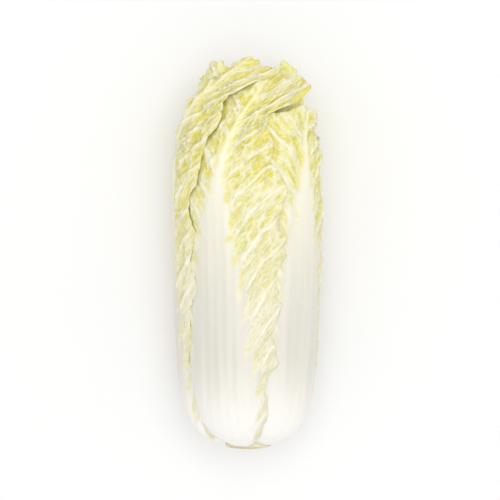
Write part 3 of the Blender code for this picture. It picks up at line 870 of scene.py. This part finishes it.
class Nodes:
    """Short names for adding and joining a material's shader nodes."""

    def __init__(self, name):
        self.material = bpy.data.materials.new(name)
        self.material.use_nodes = True
        self.tree = self.material.node_tree
        self.shader = self.tree.nodes["Principled BSDF"]

    def add(self, kind, **values):
        """A new node, with values for its own settings."""
        node = self.tree.nodes.new(kind)
        for key, value in values.items():
            setattr(node, key, value)
        return node

    def join(self, source, target):
        """A link from an output to an input socket."""
        self.tree.links.new(source, target)

    def mask(self, name):
        """The value of a mask stored on the mesh."""
        return self.add("ShaderNodeAttribute", attribute_name=name).outputs["Fac"]

    def math(self, operation, first, second):
        """The result of a sum on sockets or plain numbers, kept from 0 to 1."""
        node = self.add("ShaderNodeMath", operation=operation, use_clamp=True)
        for socket, value in zip(node.inputs, (first, second)):
            if isinstance(value, (int, float)):
                socket.default_value = value
            else:
                self.join(value, socket)
        return node.outputs[0]

    def mix(self, share, first, second):
        """A colour between two colours, each a socket or red, green and blue."""
        node = self.add("ShaderNodeMix", data_type="RGBA")
        sockets = [s for s in node.inputs if s.type == "RGBA"]
        factor = node.inputs[0]
        if isinstance(share, (int, float)):
            factor.default_value = share
        else:
            self.join(share, factor)
        for socket, value in zip(sockets, (first, second)):
            if isinstance(value, tuple):
                socket.default_value = (*value, 1)
            else:
                self.join(value, socket)
        return [s for s in node.outputs if s.type == "RGBA"][0]

    def noise(self, scale, detail=3, stretch=(1, 1, 1)):
        """Noise in the object's own space, 1 unit of scale to a metre."""
        place = self.add("ShaderNodeTexCoord").outputs["Object"]
        mapping = self.add("ShaderNodeMapping")
        mapping.inputs["Scale"].default_value = stretch
        self.join(place, mapping.inputs["Vector"])
        node = self.add("ShaderNodeTexNoise")
        node.inputs["Scale"].default_value = scale
        node.inputs["Detail"].default_value = detail
        self.join(mapping.outputs[0], node.inputs["Vector"])
        return node.outputs["Fac"]

    def net(self, scale):
        """How far a place is from the nearest line of an irregular net, 1 unit of scale to a metre."""
        place = self.add("ShaderNodeTexCoord").outputs["Object"]
        ripple = self.add("ShaderNodeTexNoise")
        ripple.inputs["Scale"].default_value = scale
        self.join(place, ripple.inputs["Vector"])
        bent = self.add("ShaderNodeVectorMath", operation="MULTIPLY_ADD")
        self.join(ripple.outputs["Color"], bent.inputs[0])
        bent.inputs[1].default_value = (NET_BEND, NET_BEND, NET_BEND)
        self.join(place, bent.inputs[2])
        node = self.add("ShaderNodeTexVoronoi", feature="DISTANCE_TO_EDGE")
        node.inputs["Scale"].default_value = scale
        self.join(bent.outputs[0], node.inputs["Vector"])
        return node.outputs["Distance"]

    def spread(self, value, low, high):
        """The value stretched so that low becomes 0 and high becomes 1."""
        node = self.add("ShaderNodeMapRange", interpolation_type="SMOOTHSTEP")
        node.inputs["From Min"].default_value = low
        node.inputs["From Max"].default_value = high
        self.join(value, node.inputs["Value"])
        return node.outputs["Result"]

    def patches(self, noise, limits):
        """Patches of noise, each from 0 at its rim to 1 inside."""
        return self.spread(self.noise(*noise), *limits)

    def bump(self, height, strength, distance):
        """Fine roughness of the skin, with its greatest height in metres."""
        node = self.add("ShaderNodeBump")
        node.inputs["Strength"].default_value = strength
        node.inputs["Distance"].default_value = distance
        self.join(height, node.inputs["Height"])
        self.join(node.outputs["Normal"], self.shader.inputs["Normal"])


def blade_colour(nodes, skin, net_line):
    """Yellower towards the tip, mottled, with painted shade in the hollows, creases and valleys, painted
    highlights on the crests, and pale on veins and along the fine net.
    """
    to_tip = nodes.spread(nodes.mask("place"), *YELLOWING)
    blade = nodes.mix(to_tip, skin["low"], skin["top"])
    mottle = nodes.math("MULTIPLY", nodes.patches(*MOTTLE), MOTTLE_SHARE)
    blade = nodes.mix(mottle, blade, skin["mottle_and_shade"])
    # Painted shade in the valleys between crests and in the hollows and creases, stronger towards the tip
    valley = nodes.math("SUBTRACT", 0.5, nodes.mask("crest"))
    hollow = nodes.math("MAXIMUM", nodes.mask("hollow"), nodes.math("MULTIPLY", valley, 2))
    depth = nodes.math("ADD", nodes.math("MULTIPLY", to_tip, HOLLOW_SHARE[1]), HOLLOW_SHARE[0])
    blade = nodes.mix(nodes.math("MULTIPLY", hollow, depth), blade, skin["mottle_and_shade"])
    # Painted highlights on the crests
    blade = nodes.mix(nodes.math("MULTIPLY", nodes.mask("crest"), CREST_SHARE), blade, skin["vein"])
    blade = nodes.mix(nodes.math("MULTIPLY", nodes.mask("vein"), VEIN_SHARE), blade, skin["vein"])
    return nodes.mix(nodes.math("MULTIPLY", net_line, NET_SHARE), blade, skin["vein"])


def rib_colour(nodes, skin):
    """White with lengthwise streaks, whitest and without them at the base, where the white is partly the
    rib's own and partly painted light, and like a vein at the tip.
    """
    # Towards the base the rib turns whiter, partly its own white and partly painted light
    near_base = nodes.spread(nodes.mask("place"), *WHITE_AND_LIT_BASE)
    rib = nodes.mix(near_base, skin["rib"], RIB_WHITE_AND_LIT_AT_BASE)
    past_base = nodes.spread(nodes.mask("place"), *STREAKS_START)
    streaks = nodes.math("MULTIPLY", nodes.patches(*STREAKS), past_base)
    streaked = tuple(RIB_STREAK_SHADE * part for part in skin["rib"])
    rib = nodes.mix(nodes.math("MULTIPLY", streaks, STREAK_SHARE), rib, streaked)
    return nodes.mix(nodes.spread(nodes.mask("place"), *YELLOWING), rib, skin["vein"])


def leaf_material(kind):
    """Leaf skin: a white rib, a yellower blade with a net of veins, and a rim dried here and there."""
    nodes = Nodes(kind + "_skin")
    net_line = nodes.spread(nodes.net(NET_CELLS), *NET_LINE)
    skin = SKINS[kind]
    colour = nodes.mix(nodes.mask("rib"), blade_colour(nodes, skin, net_line), rib_colour(nodes, skin))
    browning = nodes.math("MULTIPLY", nodes.mask("rim"), nodes.patches(*BROWNING))
    colour = nodes.mix(nodes.math("MULTIPLY", browning, DRY_SHARE), colour, DRY_RIM)
    nodes.join(colour, nodes.shader.inputs["Base Color"])
    wrinkles = nodes.math("SUBTRACT", nodes.math("MULTIPLY", net_line, WRINKLE_SHARE), nodes.mask("rib"))
    pores = nodes.math("MULTIPLY", nodes.noise(*PORE_NOISE), PORE_SHARE)
    nodes.bump(nodes.math("ADD", wrinkles, pores), *SKIN_BUMP)
    roughness = nodes.add("ShaderNodeMapRange")
    roughness.inputs["To Min"].default_value = SKIN_ROUGHNESS[0]
    roughness.inputs["To Max"].default_value = SKIN_ROUGHNESS[1]
    nodes.join(nodes.noise(*ROUGHNESS_NOISE), roughness.inputs["Value"])
    nodes.join(roughness.outputs["Result"], nodes.shader.inputs["Roughness"])
    for setting, value in SKIN_DEPTH.items():
        nodes.shader.inputs[setting].default_value = value
    return nodes.material


def stem_material():
    """Pale core tissue, browned round the cut, and the yellow of the heart."""
    nodes = Nodes("cut_stem")
    core = nodes.mix(nodes.patches(*CORE_MOTTLE), CORE_PALE, CORE_DARK)
    core = nodes.mix(nodes.mask("heart"), core, HEART_YELLOW)
    at_edge = nodes.spread(nodes.mask("cut"), *CUT_EDGE)
    ring = nodes.math("MULTIPLY", at_edge, nodes.patches(*CUT_BROWNING))
    nodes.join(nodes.mix(ring, core, CUT_BROWN), nodes.shader.inputs["Base Color"])
    nodes.bump(nodes.noise(*CUT_NOISE), *CUT_BUMP)
    nodes.shader.inputs["Roughness"].default_value = CUT_ROUGHNESS
    return nodes.material


def make_floor():
    """A plain pale floor under the head."""
    bpy.ops.mesh.primitive_plane_add(size=FLOOR_SIZE, location=(0, 0, 0))
    floor = bpy.context.object
    floor.name = "floor"
    nodes = Nodes("pale_floor")
    colour = nodes.mix(nodes.noise(*FLOOR_NOISE), *FLOOR_COLOURS)
    nodes.join(colour, nodes.shader.inputs["Base Color"])
    nodes.shader.inputs["Roughness"].default_value = FLOOR_ROUGHNESS
    floor.data.materials.append(nodes.material)


def make_light(name, place, size, power):
    """A soft square light aimed at the head."""
    data = bpy.data.lights.new(name, "AREA")
    data.size = size
    data.energy = power
    light = bpy.data.objects.new(name, data)
    light.location = place
    towards = -np.array(place)
    light.rotation_euler = (
        math.atan2(math.hypot(towards[0], towards[1]), -towards[2]),
        0,
        math.atan2(towards[1], towards[0]) - math.pi / 2,
    )
    bpy.context.scene.collection.objects.link(light)


def make_lighting():
    """Even white surroundings and a broad light from above."""
    world = bpy.data.worlds.new("studio")
    bpy.context.scene.world = world
    world.use_nodes = True
    background = world.node_tree.nodes["Background"]
    background.inputs["Color"].default_value = (1, 1, 1, 1)
    background.inputs["Strength"].default_value = SURROUNDINGS
    make_light("key", KEY_PLACE, KEY_SIZE, KEY_POWER)
    bpy.context.scene.view_settings.view_transform = "Standard"


def make_camera():
    """A camera straight above the head, with the tips at the top of the picture."""
    data = bpy.data.cameras.new("camera")
    data.lens = LENS_MM
    data.sensor_width = SENSOR_MM
    camera = bpy.data.objects.new("camera", data)
    width = PHOTO_SIDE_PX * MM_PER_PX
    centre_x = AXIS_X + (PHOTO_SIDE_PX / 2 - AXIS_PX) * MM_PER_PX
    centre_y = HEAD_START + (STEM_PX - PHOTO_SIDE_PX / 2) * MM_PER_PX
    distance = AXIS_HEIGHT + width * LENS_MM / SENSOR_MM
    camera.location = (centre_x * MM, centre_y * MM, distance * MM)
    bpy.context.scene.collection.objects.link(camera)
    bpy.context.scene.camera = camera


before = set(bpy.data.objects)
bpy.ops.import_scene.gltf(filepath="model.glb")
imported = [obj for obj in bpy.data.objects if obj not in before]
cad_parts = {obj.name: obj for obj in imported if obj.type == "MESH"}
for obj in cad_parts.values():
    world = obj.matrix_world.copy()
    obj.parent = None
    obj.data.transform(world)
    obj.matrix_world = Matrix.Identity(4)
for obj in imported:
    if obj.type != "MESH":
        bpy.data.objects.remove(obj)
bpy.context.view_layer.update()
make_camera()
make_floor()
make_lighting()
for whorl_kind, whorl_slot in SLOTS.items():
    make_whorl(whorl_kind, leaf_material(whorl_kind), whorl_slot)
make_stem_and_heart(stem_material())
